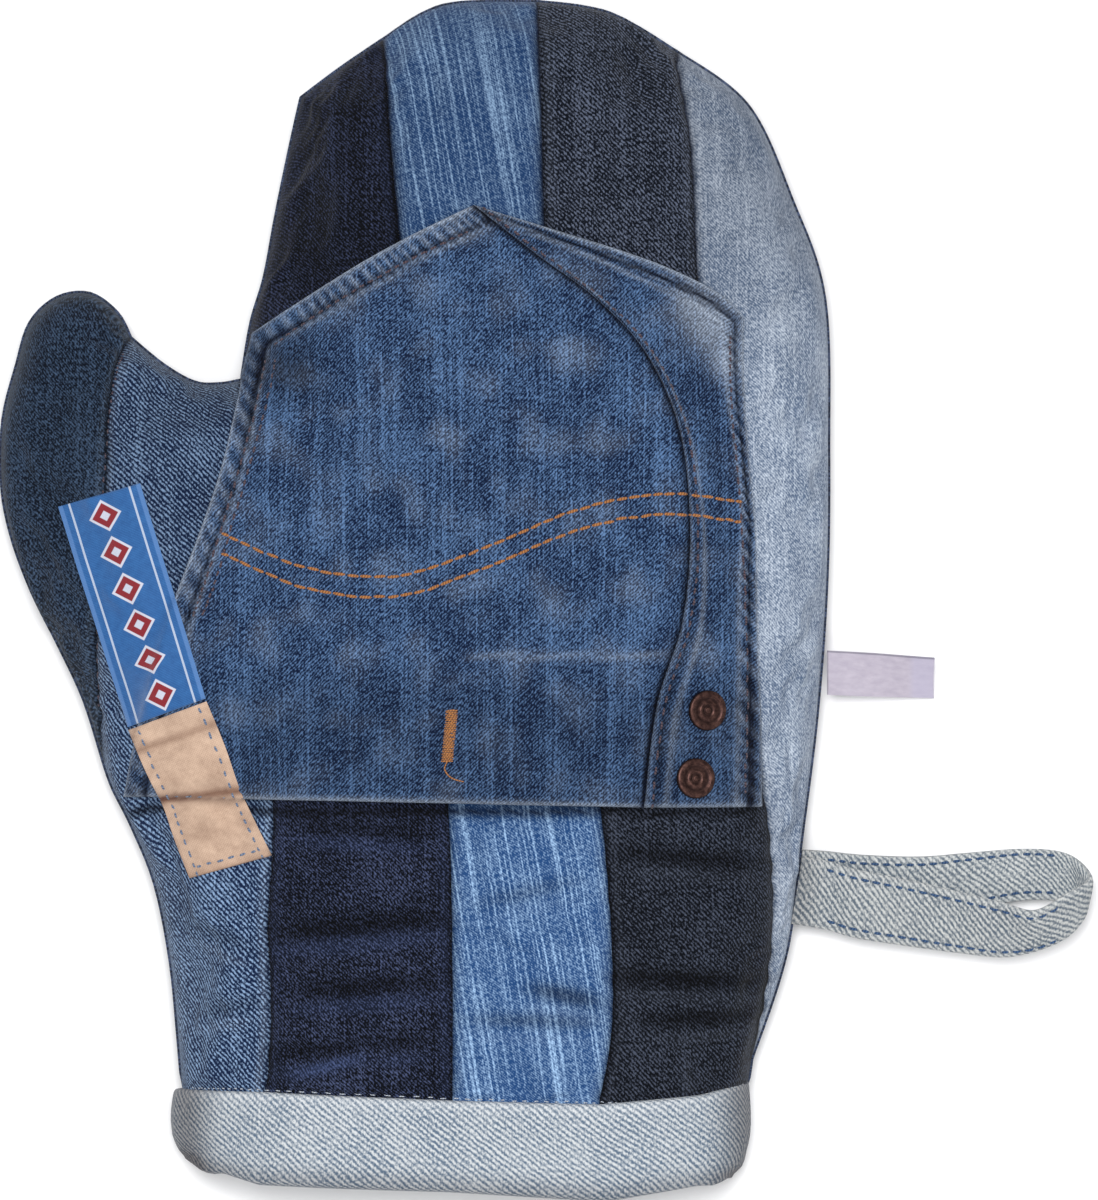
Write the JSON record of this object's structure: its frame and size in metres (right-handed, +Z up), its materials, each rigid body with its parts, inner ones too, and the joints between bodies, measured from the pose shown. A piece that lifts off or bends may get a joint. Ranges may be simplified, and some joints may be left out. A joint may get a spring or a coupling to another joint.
{
  "type": "oven mitt",
  "caption": "Left-thumbed quilted oven mitt pieced from upright denim strips, with a jeans pocket on the front, a pale bound cuff and a hanging loop.",
  "frame": {"origin": "centre of the mitt's bounding box on the surface that it lies on", "axes": "+Y from the cuff to the fingertips, +X towards the hanging loop, +Z up out of the pocketed front"},
  "size_m": [0.2839, 0.3109, 0.0496],
  "materials": {
    "charcoal_denim": "matte twill",
    "mid_blue_denim": "matte twill, worn",
    "navy_denim": "matte twill",
    "bright_blue_denim": "matte, slubbed warp",
    "pale_denim": "matte, bleached",
    "indigo_denim": "matte twill",
    "wadding": "matte felted",
    "lining_cotton": "matte plain weave",
    "reverse_denim": "matte twill, reverse side",
    "pocket_denim": "matte twill, faded",
    "pale_thread": "matte thread",
    "dark_thread": "matte thread",
    "blue_thread": "matte thread",
    "orange_thread": "matte thread",
    "rivet_copper": "aged copper",
    "woven_label_blue": "satin woven ribbon",
    "label_cotton": "matte cotton tape",
    "tag_satin": "satin ribbon"
  },
  "bodies": {
    "mitt": {"front_thumb_panel": "charcoal_denim", "front_side_panel": "mid_blue_denim", "front_navy_panel": "navy_denim", "front_blue_panel": "bright_blue_denim", "front_charcoal_panel": "charcoal_denim", "front_pale_panel": "pale_denim", "back_panel": "indigo_denim", "front_wadding": "wadding", "back_wadding": "wadding", "front_lining": "lining_cotton", "back_lining": "lining_cotton", "cuff_binding": "reverse_denim", "binding_stitching": "pale_thread", "panel_seam_thread": "dark_thread", "pocket_panel": "pocket_denim", "pocket_side_band": "pocket_denim", "pocket_topstitching": "dark_thread", "ornamental_stitching": "orange_thread", "bartack": "orange_thread", "rivet_caps": "rivet_copper", "rivet_backs": "rivet_copper", "woven_label": "woven_label_blue", "cream_label": "label_cotton", "label_stitching": "dark_thread"},
    "loop": {"hanging_loop": "reverse_denim", "loop_stitching": "blue_thread"},
    "tag": {"side_tag": "tag_satin"}
  },
  "joints": [
    {"name": "loop_swing", "type": "hinge", "parent": "mitt", "child": "loop", "pos_m": [0.068, -0.0745, 0.01], "axis": [0, -1, 0], "range_deg": [-80, 90]},
    {"name": "tag_flap", "type": "hinge", "parent": "mitt", "child": "tag", "pos_m": [0.0729, -0.019, 0.01], "axis": [0, -1, 0], "range_deg": [-70, 90]}
  ]
}
